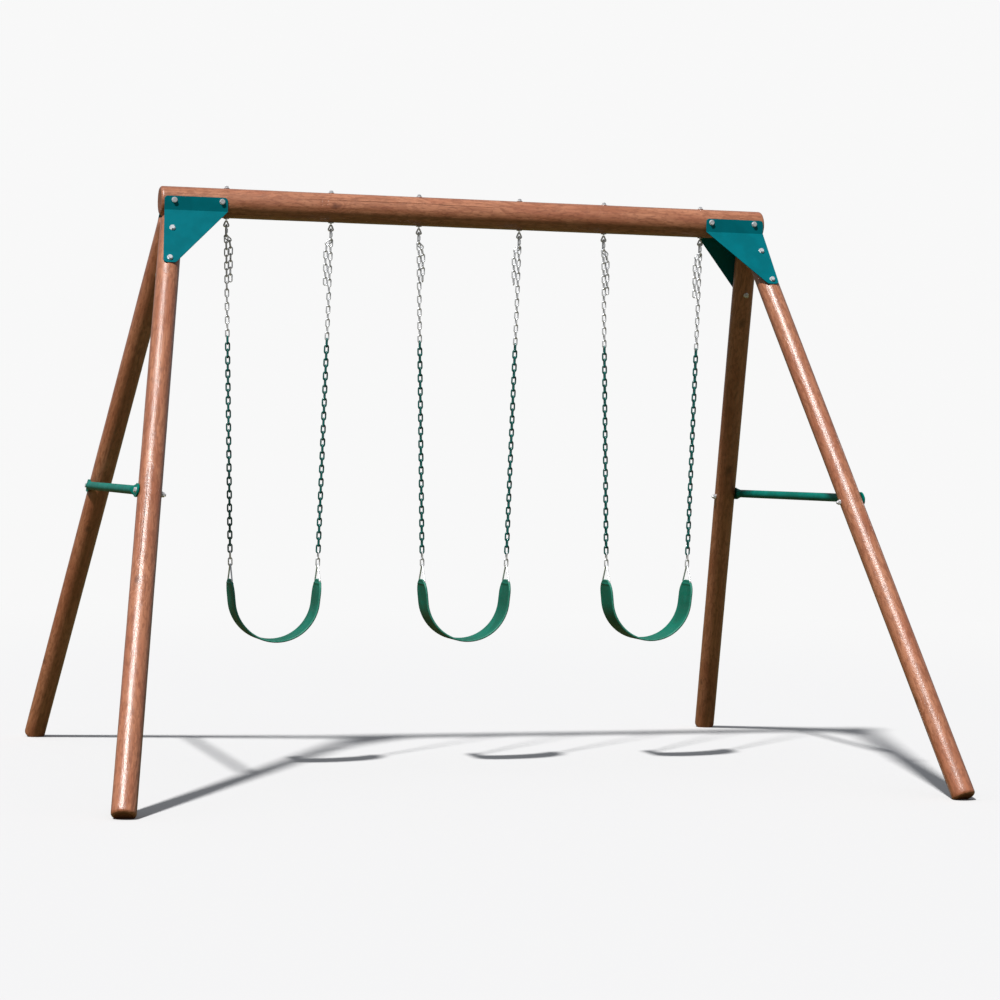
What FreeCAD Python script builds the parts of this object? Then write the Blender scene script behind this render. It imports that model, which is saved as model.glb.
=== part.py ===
"""Free-standing timber A-frame swing set with three belt swings.

+X runs along the top beam, -Y is the front and +Z is up.  The origin lies on the ground
under the middle of the beam.  All sizes are in millimetres.
"""
import FreeCAD, Part
import math
import os
import Sketcher

V = FreeCAD.Vector
Rotation = FreeCAD.Rotation
Placement = FreeCAD.Placement
doc = FreeCAD.newDocument("SwingSet")

# ---------------------------------------------------------------- driving dimensions

SIZES = {
    # logs
    "beam_diameter": 114,
    "beam_length": 2450,
    "beam_height": 2175,          # beam axis above the ground
    "leg_diameter": 87,
    "leg_length": 2494,
    "log_rim": 11,                # rounding of a log's sawn ends
    "leg_lean": 32,               # degrees from vertical, front to back
    "leg_splay": 9.3,             # degrees from vertical, towards the beam's end
    "leg_inset": 44,              # leg top, from the beam's end
    "leg_half_gap": 26,           # leg top, from the middle plane
    "leg_drop": 71,               # leg top, below the beam's axis
    "mitre_gap": 1.5,             # between the mitred tops of a pair of legs
    # brackets
    "plate": 3,
    "strip_height": 54,
    "strip_inner": 972,
    "strip_outer": 1215,
    "gusset_depth": 246,
    "gusset_tip_inner": 1190,
    "gusset_tip_outer": 1237,
    "plate_corner": 13,
    "beam_bolt_inner": 994,
    "beam_bolt_outer": 1177,
    "leg_bolt_upper": 76,         # along the leg from its top
    "leg_bolt_lower": 216,
    # bolts
    "bolt_diameter": 10,
    "bolt_hole": 10.6,
    "hex_corner": 9.24,           # centre to corner of a 16 mm hexagon
    "head_height": 6.5,
    "nut_height": 8,
    "washer_diameter": 22,
    "washer_thickness": 2,
    "bolt_tail": 5,               # thread that shows past a nut
    # cross-braces
    "brace_height": 1080,
    "brace_diameter": 33,
    "brace_wall": 2,
    "brace_flat": 6,
    "brace_flat_height": 50,
    "brace_taper": 38,
    "brace_end": 25,              # bolt centre to the flattened end's tip
    "drain_hole": 5,
    # hangers
    "swing_pitch": 762,           # between the middles of neighbouring swings
    "hanger_pitch": 410,          # between the two chains of a swing, at the beam
    "eye_drop": 88,               # the eye's straight bar, below the beam's axis
    "eye_wire": 6.5,
    "eye_width": 30,
    "eye_peak_bend": 3.4,         # bends of the eye's wire, to its centre line
    "eye_bar_bend": 4.5,
    "eye_shank": 8,
    "eye_hole": 8.6,
    "eye_hex_corner": 7.5,        # centre to corner of a 13 mm hexagon
    "eye_nut_height": 6.5,
    "eye_tail": 1.5,              # thread that shows past the eye's nut
    "link_gap": 0.2,              # play between things that hang on each other
    "hook_wire": 6,
    "hook_width": 18,             # between the wire's centre lines
    "hook_inside": 40,
    "sleeve_diameter": 10.5,
    "sleeve_length": 15,
    # chains
    "chain_wire": 5,
    "coated_wire": 6.6,
    "coated_width": 14.6,
    "chain_inside": 26,
    "chain_width": 13.5,          # between the wire's centre lines
    "chain_links": 49,
    "bare_links": 15,
    "seat_links": 2,              # bare links next to the seat
    "chain_offset": 2.9,          # hooked links sit this far before and behind the middle
    "tail_tilt": 50,
    "tail_offset": 18.9,
    # seats
    "ring_wire": 6,
    "ring_base": 100,
    "ring_height": 80,
    "ring_apex_bend": 8.2,
    "ring_corner": 9,
    "belt_radius": 165,
    "belt_wrap": 84,              # degrees each side of the lowest point
    "belt_side": 75,              # straight part, up to the ring's base bar
    "belt_tip": 17,               # beyond the base bar
    "belt_width": 142,
    "belt_thickness": 8,
    "belt_corner": 54,
}

WORDS = ("left", "right")
DEPTHS = ("front", "back")
SWINGS = (("left", -1), ("middle", 0), ("right", 1))
# spare links in each swing's left and right tail
TAIL_LINKS = {"left": (6, 6), "middle": (5, 5), "right": (6, 6)}


def make_sheet():
    """Put the driving dimensions in a spreadsheet with one alias each."""
    table = doc.addObject("Spreadsheet::Sheet", "Sizes")
    for row, (alias, value) in enumerate(SIZES.items(), start=1):
        table.set("A%d" % row, alias)
        table.set("B%d" % row, str(value))
        table.setAlias("B%d" % row, alias)
    doc.recompute()
    return table


sheet = make_sheet()


def size(alias):
    return float(sheet.get(alias))


def tan_of(alias):
    return math.tan(math.radians(size(alias)))


# ---------------------------------------------------------------- sketch and body helpers

def origin_plane(body, role):
    return next(item for item in body.Origin.OriginFeatures if item.Role == role)


def add_sketch(body, role, offset=None):
    sketch = body.newObject("Sketcher::SketchObject", body.Name + "Sketch")
    sketch.AttachmentSupport = (origin_plane(body, role), [""])
    sketch.MapMode = "FlatFace"
    if offset is not None:
        sketch.AttachmentOffset = offset
    return sketch


def add_circle(sketch, x, y, alias):
    """A circle whose diameter is bound to the sheet."""
    radius = size(alias) / 2
    index = sketch.addGeometry(Part.Circle(V(x, y, 0), V(0, 0, 1), radius))
    sketch.addConstraint(Sketcher.Constraint("DistanceX", -1, 1, index, 3, x))
    sketch.addConstraint(Sketcher.Constraint("DistanceY", -1, 1, index, 3, y))
    number = sketch.addConstraint(Sketcher.Constraint("Diameter", index, 2 * radius))
    sketch.setExpression("Constraints[%d]" % number, "Sizes." + alias)


def corner_arc(before, corner, after, radius):
    """The tangent arc that rounds one corner: its start, middle and end."""
    back = (before - corner).normalize()
    ahead = (after - corner).normalize()
    half = back.getAngle(ahead) / 2
    reach = radius / math.tan(half)
    bisector = (back + ahead).normalize()
    centre = corner + bisector * (radius / math.sin(half))
    return corner + back * reach, centre - bisector * radius, corner + ahead * reach


def rounded_loop(corners):
    """Edges of a closed polygon of (point, radius) corners, starting midway on a side."""
    points = [point for point, _ in corners]
    bends = []
    for index, (point, radius) in enumerate(corners):
        if radius > 0:
            bends.append(corner_arc(points[index - 1], point, points[(index + 1) % len(points)], radius))
        else:
            bends.append((point, None, point))
    start = (bends[-1][2] + bends[0][0]) * 0.5
    curves = [Part.LineSegment(start, bends[0][0])]
    for index, (first, middle, last) in enumerate(bends):
        if middle is not None:
            curves.append(Part.Arc(first, middle, last))
        onward = bends[index + 1][0] if index + 1 < len(bends) else start
        curves.append(Part.LineSegment(last, onward))
    return curves


def add_outline(sketch, corners):
    """A closed outline of (x, y, radius) corners, held in place by block constraints."""
    curves = rounded_loop([(V(x, y, 0), radius) for x, y, radius in corners])
    for number in sketch.addGeometry(curves):
        sketch.addConstraint(Sketcher.Constraint("Block", number))


def add_pad(body, sketch, length, midplane=False, reverse=False):
    """Pad a sketch by a length that is bound to the sheet."""
    pad = body.newObject("PartDesign::Pad", body.Name + "Pad")
    pad.Profile = sketch
    pad.setExpression("Length", "Sizes." + length)
    if midplane:
        pad.SideType = "Symmetric"
    pad.Reversed = reverse
    body.Tip = pad
    doc.recompute()
    return pad


def add_through_cut(body, sketch):
    """Pocket a sketch right through the body, both ways."""
    before = body.Shape.Volume
    pocket = body.newObject("PartDesign::Pocket", body.Name + "Pocket")
    pocket.Profile = sketch
    pocket.Type = "ThroughAll"
    pocket.SideType = "Symmetric"
    body.Tip = pocket
    doc.recompute()
    assert body.Shape.Volume < before - 1, body.Name + ": the pocket cuts nothing"


def round_rims(body, feature, alias):
    """Fillet every full circular edge of a feature."""
    edges = []
    for index, edge in enumerate(feature.Shape.Edges, start=1):
        if isinstance(edge.Curve, Part.Circle):
            edges.append("Edge%d" % index)
    fillet = body.newObject("PartDesign::Fillet", body.Name + "Fillet")
    fillet.Base = (feature, edges)
    fillet.setExpression("Radius", "Sizes." + alias)
    body.Tip = fillet
    doc.recompute()


def add_body(name):
    body = doc.addObject("PartDesign::Body", name)
    body.Label = name
    return body


def frame_placement(base, x_axis, y_axis, z_axis):
    """The placement that carries the coordinate axes onto three unit vectors."""
    return Placement(FreeCAD.Matrix(
        x_axis.x, y_axis.x, z_axis.x, base.x,
        x_axis.y, y_axis.y, z_axis.y, base.y,
        x_axis.z, y_axis.z, z_axis.z, base.z,
        0, 0, 0, 1))


NODES = []


def keep(item):
    NODES.append(item)
    return item


def keep_shape(name, shape):
    """A node whose shape is worked out in code from the sheet's sizes."""
    item = doc.addObject("Part::Feature", name)
    item.Label = name
    item.Shape = shape
    return keep(item)


def keep_group(name, shape, placements):
    """One node that holds the same solid at several places."""
    copies = []
    for place in placements:
        copy = shape.copy()
        copy.Placement = place.multiply(copy.Placement)
        copies.append(copy)
    return keep_shape(name, Part.makeCompound(copies))


# ---------------------------------------------------------------- geometry of the A-frames

class Leg:
    """Places and directions of one leg: side is -1 left, 1 right; depth is -1 front, 1 back."""

    def __init__(self, side, depth):
        self.side = side
        self.depth = depth
        self.down = V(side * tan_of("leg_splay"), depth * tan_of("leg_lean"), -1).normalize()
        self.top = V(side * (size("beam_length") / 2 - size("leg_inset")),
                     depth * size("leg_half_gap"),
                     size("beam_height") - size("leg_drop"))
        lean = math.radians(size("leg_lean"))
        # out of the A, square to the leg and to the beam
        self.out = V(0, depth * math.cos(lean), math.sin(lean))
        # out past the beam's end, square to the leg and to the cross-brace
        self.side_out = V(-self.down.z * side, 0, abs(self.down.x)).normalize()

    def along(self, distance):
        return self.top + self.down * distance

    def placement(self):
        """The log's own frame: its Z runs up the leg, its Y points out of the A."""
        z_axis = self.down * -1
        return frame_placement(self.top, self.out.cross(z_axis), self.out, z_axis)

    def brace_point(self):
        """Where the brace bolt crosses the leg's axis."""
        stand_off = size("leg_diameter") / 2 + size("brace_flat") / 2
        wanted = size("brace_height") - stand_off * self.side_out.z
        return self.along((self.top.z - wanted) / -self.down.z)

    def bend_height(self):
        """Height of the bracket's bend, where the leg's outer plane meets the beam's side."""
        beam_side = self.depth * size("beam_diameter") / 2
        plane = self.out.dot(self.top) + size("leg_diameter") / 2
        return (plane - self.out.y * beam_side) / self.out.z


LEGS = {}
for side_word, side in zip(WORDS, (-1, 1)):
    for depth_word, depth in zip(DEPTHS, (-1, 1)):
        LEGS[depth_word + "_" + side_word] = Leg(side, depth)


def hanger_places():
    """(swing, side, x of its hanger) from left to right."""
    places = []
    for swing, step in SWINGS:
        for side in (-1, 1):
            places.append((swing, side, step * size("swing_pitch") + side * size("hanger_pitch") / 2))
    return places


# ---------------------------------------------------------------- logs

def make_beam():
    body = add_body("top_beam")
    sketch = add_sketch(body, "YZ_Plane")
    add_circle(sketch, 0, 0, "beam_diameter")
    pad = add_pad(body, sketch, "beam_length", midplane=True)
    round_rims(body, pad, "log_rim")
    upright_holes = add_sketch(body, "XY_Plane")
    for _, _, x in hanger_places():
        add_circle(upright_holes, x, 0, "eye_hole")
    add_through_cut(body, upright_holes)
    cross_holes = add_sketch(body, "XZ_Plane")
    for side in (-1, 1):
        add_circle(cross_holes, side * size("beam_bolt_inner"), 0, "bolt_hole")
        add_circle(cross_holes, side * size("beam_bolt_outer"), 0, "bolt_hole")
    add_through_cut(body, cross_holes)
    body.setExpression(".Placement.Base.z", "Sizes.beam_height")
    keep(body)


def make_leg(name, leg):
    """A log with its bolt holes, its foot sawn level with the ground and its top mitred."""
    body = add_body(name + "_log")
    sketch = add_sketch(body, "XY_Plane")
    add_circle(sketch, 0, 0, "leg_diameter")
    pad = add_pad(body, sketch, "leg_length", reverse=True)
    round_rims(body, pad, "log_rim")
    bracket_holes = add_sketch(body, "XZ_Plane")
    add_circle(bracket_holes, 0, -size("leg_bolt_upper"), "bolt_hole")
    add_circle(bracket_holes, 0, -size("leg_bolt_lower"), "bolt_hole")
    add_through_cut(body, bracket_holes)
    placement = leg.placement()
    local_out = placement.Rotation.inverted().multVec(leg.side_out)
    turn = math.degrees(math.atan2(-local_out.x, local_out.y))
    brace_hole = add_sketch(body, "XZ_Plane", Placement(V(0, 0, 0), Rotation(V(0, 1, 0), turn)))
    add_circle(brace_hole, 0, -(leg.brace_point() - leg.top).Length, "bolt_hole")
    add_through_cut(body, brace_hole)
    body.Placement = placement

    trim = doc.addObject("Part::Box", name + "_trim")
    trim.setExpression("Length", "2 * Sizes.beam_length")
    trim.setExpression("Width", "Sizes.beam_length")
    trim.setExpression("Height", "Sizes.beam_height")
    half_gap = size("mitre_gap") / 2
    near = half_gap if leg.depth > 0 else -half_gap - size("beam_length")
    trim.Placement.Base = V(-size("beam_length"), near, 0)
    common = doc.addObject("Part::Common", name)
    common.Base = body
    common.Tool = trim
    common.Label = name
    keep(common)


# ---------------------------------------------------------------- brackets

def make_bracket(name, leg):
    """A bent plate: a strip on the beam's side and a gusset down the leg's outer face."""
    body = add_body(name)
    # a back bracket is a front one of the other hand, turned half a turn
    hand = -leg.side * leg.depth
    lean = size("leg_lean")
    bend = V(0, leg.depth * size("beam_diameter") / 2, leg.bend_height())
    corner = size("plate_corner")
    inner = hand * size("strip_inner")
    outer = hand * size("strip_outer")
    rise = size("strip_height")
    depth = -size("gusset_depth")

    strip = add_sketch(body, "XZ_Plane")
    add_outline(strip, [(inner, 0, 0), (inner, rise, corner), (outer, rise, corner), (outer, 0, 0)])
    bolt_line = size("beam_height") - bend.z
    add_circle(strip, hand * size("beam_bolt_inner"), bolt_line, "bolt_hole")
    add_circle(strip, hand * size("beam_bolt_outer"), bolt_line, "bolt_hole")
    add_pad(body, strip, "plate")

    gusset = add_sketch(body, "XZ_Plane", Placement(V(0, 0, 0), Rotation(V(1, 0, 0), -lean)))
    add_outline(gusset, [(inner, 0, 0), (outer, 0, 0),
                         (hand * size("gusset_tip_outer"), depth, corner),
                         (hand * size("gusset_tip_inner"), depth, corner)])
    uphill = V(0, -leg.depth * math.sin(math.radians(lean)), math.cos(math.radians(lean)))
    for alias in ("leg_bolt_upper", "leg_bolt_lower"):
        centre = leg.along(size(alias))
        add_circle(gusset, -leg.depth * centre.x, (centre - bend).dot(uphill), "bolt_hole")
    add_pad(body, gusset, "plate")
    body.Placement = Placement(bend, Rotation(V(0, 0, 1), 0 if leg.depth < 0 else 180))
    keep(body)


# ---------------------------------------------------------------- fasteners

def pointing(point, direction):
    """A placement whose Z runs along a direction."""
    return Placement(point, Rotation(V(0, 0, 1), direction))


def hexagon(corner, height):
    """A hexagonal prism with its top corners chamfered."""
    points = []
    for step in range(7):
        turn = math.radians(60 * (step % 6))
        points.append(V(corner * math.cos(turn), corner * math.sin(turn), 0))
    prism = Part.Face(Part.makePolygon(points)).extrude(V(0, 0, height))
    return prism.common(Part.makeCone(1.6 * corner, 0.92 * corner, height))


def hex_bolt(length):
    """Head upwards, with the shank's end at minus length."""
    shank = Part.makeCylinder(size("bolt_diameter") / 2, length, V(0, 0, -length))
    return hexagon(size("hex_corner"), size("head_height")).fuse(shank).removeSplitter()


def hex_nut(corner, height, bore):
    return hexagon(corner, height).cut(Part.makeCylinder(bore / 2, height))


def washer(bore):
    thickness = size("washer_thickness")
    disc = Part.makeCylinder(size("washer_diameter") / 2, thickness)
    return disc.cut(Part.makeCylinder(bore / 2, thickness))


def make_bolted_joints(name, joints):
    """Bolts, nuts and washers; a joint is (outer face, outward direction, grip)."""
    thickness = size("washer_thickness")
    grip = joints[0][2]
    bolt = hex_bolt(grip + 2 * thickness + size("nut_height") + size("bolt_tail"))
    nut = hex_nut(size("hex_corner"), size("nut_height"), size("bolt_hole"))
    heads = []
    nuts = []
    washers = []
    for face, outward, _ in joints:
        far_face = face - outward * grip
        heads.append(pointing(face + outward * thickness, outward))
        nuts.append(pointing(far_face - outward * thickness, outward * -1))
        washers.append(pointing(face, outward))
        washers.append(pointing(far_face, outward * -1))
    keep_group(name + "_bolts", bolt, heads)
    keep_group(name + "_nuts", nut, nuts)
    keep_group(name + "_washers", washer(size("bolt_hole")), washers)


def make_frame_fasteners():
    plate = size("plate")
    half_beam = size("beam_diameter") / 2 + plate
    half_leg = size("leg_diameter") / 2
    beam_joints = []
    for side in (-1, 1):
        for alias in ("beam_bolt_inner", "beam_bolt_outer"):
            face = V(side * size(alias), -half_beam, size("beam_height"))
            beam_joints.append((face, V(0, -1, 0), 2 * half_beam))
    make_bolted_joints("beam", beam_joints)
    leg_joints = []
    brace_joints = []
    for leg in LEGS.values():
        for alias in ("leg_bolt_upper", "leg_bolt_lower"):
            face = leg.along(size(alias)) + leg.out * (half_leg + plate)
            leg_joints.append((face, leg.out, 2 * half_leg + plate))
        face = leg.brace_point() + leg.side_out * (half_leg + size("brace_flat"))
        brace_joints.append((face, leg.side_out, 2 * half_leg + size("brace_flat")))
    make_bolted_joints("leg", leg_joints)
    make_bolted_joints("brace", brace_joints)


# ---------------------------------------------------------------- cross-braces

def brace_end(reach):
    """The crimped end of a brace: a taper from the round tube to a rounded flat."""
    radius = size("brace_diameter") / 2
    half_height = size("brace_flat_height") / 2
    half_flat = size("brace_flat") / 2
    start = reach - half_height - size("brace_taper")
    circle = Part.Circle(V(start, 0, 0), V(1, 0, 0), radius)
    flattened = Part.Ellipse(V(start + size("brace_taper"), 0, half_height),
                             V(start + size("brace_taper"), half_flat, 0),
                             V(start + size("brace_taper"), 0, 0))
    rings = [Part.Wire([circle.toShape()]), Part.Wire([flattened.toShape()])]
    taper = Part.makeLoft(rings, True)
    flat = Part.makeBox(half_height, 2 * half_flat, 2 * half_height,
                        V(reach - half_height, -half_flat, -half_height))
    tip = Part.makeCylinder(half_height, 2 * half_flat, V(reach, -half_flat, 0), V(0, 1, 0))
    hole = Part.makeCylinder(size("bolt_hole") / 2, 4 * half_flat, V(reach, -2 * half_flat, 0), V(0, 1, 0))
    return taper.fuse([flat, tip]).cut(hole)


def make_brace(name, front, back):
    """A steel tube along Y between the outer sides of a pair of legs."""
    stand_off = size("leg_diameter") / 2 + size("brace_flat") / 2
    middle = (front.brace_point() + back.brace_point()) * 0.5 + front.side_out * stand_off
    reach = (back.brace_point() - front.brace_point()).Length / 2
    radius = size("brace_diameter") / 2
    half_tube = reach - size("brace_flat_height") / 2 - size("brace_taper")
    tube = Part.makeCylinder(radius, 2 * half_tube, V(-half_tube, 0, 0), V(1, 0, 0))
    bore = Part.makeCylinder(radius - size("brace_wall"), 2 * half_tube, V(-half_tube, 0, 0), V(1, 0, 0))
    near_end = brace_end(reach)
    far_end = near_end.mirror(V(0, 0, 0), V(1, 0, 0))
    # the drain hole opens the tube's lower side
    drain = Part.makeCylinder(size("drain_hole") / 2, radius, V(0, 0, 0), V(0, 0, 1))
    shape = tube.fuse([near_end, far_end]).removeSplitter().cut([bore, drain])
    along = V(0, 1, 0)
    item = keep_shape(name, shape)
    item.Placement = frame_placement(middle, along, front.side_out, along.cross(front.side_out))


# ---------------------------------------------------------------- hangers

def wire_form(curves, diameter):
    """A closed bent wire that follows the curves, which start on a straight run."""
    path = Part.Wire([curve.toShape() for curve in curves])
    start = curves[0].StartPoint
    along = curves[0].EndPoint - start
    section = Part.Wire([Part.Circle(start, along, diameter / 2).toShape()])
    return path.makePipeShell([section], True, False)


def long_link(inside, width, diameter):
    """A welded link in the XZ plane: width is between its wire's centre lines."""
    radius = width / 2
    straight = (inside - (width - diameter)) / 2
    curves = [
        Part.LineSegment(V(radius, 0, 0), V(radius, 0, straight)),
        Part.Arc(V(radius, 0, straight), V(0, 0, straight + radius), V(-radius, 0, straight)),
        Part.LineSegment(V(-radius, 0, straight), V(-radius, 0, -straight)),
        Part.Arc(V(-radius, 0, -straight), V(0, 0, -straight - radius), V(radius, 0, -straight)),
        Part.LineSegment(V(radius, 0, -straight), V(radius, 0, 0)),
    ]
    return wire_form(curves, diameter)


def make_eye_bolts():
    """Eye bolts up through the beam; each eye's straight bar is a swing's hinge."""
    half_beam = size("beam_diameter") / 2
    thickness = size("washer_thickness")
    half_width = (size("eye_width") - size("eye_wire")) / 2
    bar = -size("eye_drop")
    peak = -half_beam - thickness - size("eye_wire") / 2
    corners = [(V(0, 0, peak), size("eye_peak_bend")), (V(-half_width, 0, bar), size("eye_bar_bend")),
               (V(half_width, 0, bar), size("eye_bar_bend"))]
    loop = wire_form(rounded_loop(corners), size("eye_wire"))
    top = half_beam + thickness + size("eye_nut_height") + size("eye_tail")
    shank = Part.makeCylinder(size("eye_shank") / 2, top - peak, V(0, 0, peak))
    bolt = loop.fuse(shank)
    nut = hex_nut(size("eye_hex_corner"), size("eye_nut_height"), size("eye_hole"))
    bolts = []
    nuts = []
    washers = []
    for _, _, x in hanger_places():
        centre = V(x, 0, size("beam_height"))
        bolts.append(Placement(centre, Rotation()))
        nuts.append(Placement(centre + V(0, 0, half_beam + thickness), Rotation()))
        washers.append(Placement(centre + V(0, 0, half_beam), Rotation()))
        washers.append(Placement(centre - V(0, 0, half_beam + thickness), Rotation()))
    keep_group("eye_bolts", bolt, bolts)
    keep_group("eye_nuts", nut, nuts)
    keep_group("eye_washers", washer(size("eye_hole")), washers)


# ---------------------------------------------------------------- swings

UPRIGHT = Rotation()
EDGE_ON = Rotation(V(0, 0, 1), 90)


class Hanging:
    """Where the parts of one chain hang, from the eye down to the seat's ring."""

    def __init__(self, x, side):
        self.side = side
        gap = size("link_gap")
        wire = size("chain_wire")
        self.pitch = size("chain_inside") - gap
        self.pivot = V(x, 0, size("beam_height") - size("eye_drop"))
        hook_top = self.pivot.z + size("eye_wire") / 2 + gap
        self.hook = V(x, 0, hook_top - size("hook_inside") / 2)
        # centre of the quick link's lower bend, and how deep a chain link sits in it
        self.bend = V(x, 0, hook_top - size("hook_inside") + (size("hook_width") - size("hook_wire")) / 2)
        seat_radius = (size("hook_width") - size("hook_wire") - wire) / 2
        self.sink = math.sqrt(seat_radius ** 2 - size("chain_offset") ** 2) - gap
        self.half_link = (size("chain_inside") + wire) / 2
        self.first = self.bend + V(0, -size("chain_offset"), -self.sink - self.half_link)
        inward = side * (size("hanger_pitch") / 2 - belt_bar_x())
        run = (size("chain_links") - 1) * self.pitch
        drop = math.sqrt(run ** 2 - inward ** 2 - size("chain_offset") ** 2)
        self.last = self.first + V(-inward, size("chain_offset"), -drop)
        self.up = (self.first - self.last).normalize()
        # the seat turns about the lower wire of the last link
        self.seat_pivot = self.last - self.up * self.half_link
        self.ring_top = self.seat_pivot.z + (wire + size("ring_wire")) / 2 + gap

    def link_placement(self, index):
        """Links alternate between facing the front and edge on."""
        place = self.last + self.up * (self.pitch * (size("chain_links") - 1 - index))
        lean = Rotation(V(0, 0, 1), self.up)
        return Placement(place, lean.multiply(UPRIGHT if index % 2 == 0 else EDGE_ON))

    def fixed_spare(self):
        """The first spare link, slanting off the quick link, and its lower bend's centre."""
        tilt = math.radians(size("tail_tilt"))
        inward = -self.side
        along = V(inward * math.sin(tilt), 0, -math.cos(tilt))
        radius = size("chain_width") / 2
        straight = self.half_link - radius
        hook_radius = size("hook_width") / 2
        wire_depth = math.sqrt(hook_radius ** 2 - size("chain_offset") ** 2)
        hooked = self.bend + V(0, size("chain_offset"), -wire_depth)
        play = radius - (wire_depth - self.sink)
        centre = hooked + along * (play + straight)
        link = Placement(centre, Rotation(V(0, 1, 0), -inward * size("tail_tilt")))
        return link, centre + along * straight

    def tail_line(self):
        """Direction of the tail's first link, its upper wire's centre and its pivot."""
        _, bend = self.fixed_spare()
        radius = size("chain_width") / 2
        slack = radius - size("chain_wire") - size("link_gap")
        sideways = size("tail_offset") - abs(bend.x - self.pivot.x)
        slant = math.asin(sideways / (slack + 2 * self.half_link))
        along = V(-self.side * math.sin(slant), 0, -math.cos(slant))
        return slant, along, bend + along * slack, bend + along * radius

    def tail_placements(self, count):
        """The free tail: its first link slants out until the tail clears the chain."""
        slant, along, top, _ = self.tail_line()
        lean = Rotation(V(0, 1, 0), self.side * math.degrees(slant))
        places = [Placement(top + along * self.half_link, lean.multiply(EDGE_ON))]
        foot = top + along * (2 * self.half_link)
        rise = size("chain_wire") + size("link_gap")
        for index in range(1, count):
            centre = foot - V(0, 0, self.half_link - rise + (index - 1) * self.pitch)
            places.append(Placement(centre, UPRIGHT if index % 2 else EDGE_ON))
        return places


def belt_bar_x():
    """Distance of a ring's base bar from the middle of its seat."""
    wrap = math.radians(size("belt_wrap"))
    return size("belt_radius") * math.sin(wrap) + size("belt_side") * math.cos(wrap)


def belt_bar_z():
    """Height of a ring's base bar above the belt's lowest centre line."""
    wrap = math.radians(size("belt_wrap"))
    return size("belt_radius") * (1 - math.cos(wrap)) + size("belt_side") * math.sin(wrap)


def ring_crest():
    """How far the rounded crest of a ring lies below the triangle's sharp corner."""
    half_angle = math.atan2(size("ring_base") / 2, size("ring_height"))
    return size("ring_apex_bend") * (1 / math.sin(half_angle) - 1)


def triangle_ring(diameter):
    """A triangular ring in the YZ plane, with the wire's centre at its crest at the origin."""
    half_base = size("ring_base") / 2
    peak = ring_crest()
    base = peak - size("ring_height")
    corner = size("ring_corner")
    return wire_form(rounded_loop([(V(0, 0, peak), size("ring_apex_bend")),
                                   (V(0, half_base, base), corner),
                                   (V(0, -half_base, base), corner)]), diameter)


def belt_outline(bottom):
    """Curves of the belt's edge, seen from the front; bottom is its lowest centre line."""
    half = size("belt_thickness") / 2
    radius = size("belt_radius")
    wrap = math.radians(size("belt_wrap"))
    length = size("belt_side") + size("belt_tip")

    def on_arc(angle, distance):
        return V(distance * math.sin(angle), bottom + radius - distance * math.cos(angle), 0)

    def tip(side, distance):
        return on_arc(side * wrap, distance) + V(side * math.cos(wrap), math.sin(wrap), 0) * length

    outer = radius + half
    inner = radius - half
    return [
        Part.Arc(on_arc(-wrap, outer), on_arc(0, outer), on_arc(wrap, outer)),
        Part.LineSegment(on_arc(wrap, outer), tip(1, outer)),
        Part.LineSegment(tip(1, outer), tip(1, inner)),
        Part.LineSegment(tip(1, inner), on_arc(wrap, inner)),
        Part.Arc(on_arc(wrap, inner), on_arc(0, inner), on_arc(-wrap, inner)),
        Part.LineSegment(on_arc(-wrap, inner), tip(-1, inner)),
        Part.LineSegment(tip(-1, inner), tip(-1, outer)),
        Part.LineSegment(tip(-1, outer), on_arc(-wrap, outer)),
    ]


def make_belt(name, centre_x, ring_places, bottom):
    """The moulded belt, with the room that its two rings take up in its ends."""
    body = add_body(name + "_blank")
    sketch = add_sketch(body, "XZ_Plane")
    for number in sketch.addGeometry(belt_outline(bottom)):
        sketch.addConstraint(Sketcher.Constraint("Block", number))
    pad = add_pad(body, sketch, "belt_width", midplane=True)
    corners = []
    for index, edge in enumerate(pad.Shape.Edges, start=1):
        middle = edge.CenterOfMass
        short = abs(edge.Length - size("belt_thickness")) < 0.01
        if short and abs(abs(middle.y) - size("belt_width") / 2) < 0.01:
            corners.append("Edge%d" % index)
    fillet = body.newObject("PartDesign::Fillet", body.Name + "Fillet")
    fillet.Base = (pad, corners)
    fillet.setExpression("Radius", "Sizes.belt_corner")
    body.Tip = fillet
    body.Placement.Base = V(centre_x, 0, 0)
    cavity = doc.addObject("Part::Feature", name + "_ring_cavity")
    slim = triangle_ring(size("ring_wire") + size("link_gap"))
    copies = []
    for place in ring_places:
        copy = slim.copy()
        copy.Placement = place
        copies.append(copy)
    cavity.Shape = Part.makeCompound(copies)
    cut = doc.addObject("Part::Cut", name)
    cut.Base = body
    cut.Tool = cavity
    cut.Label = name
    keep(cut)


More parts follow.
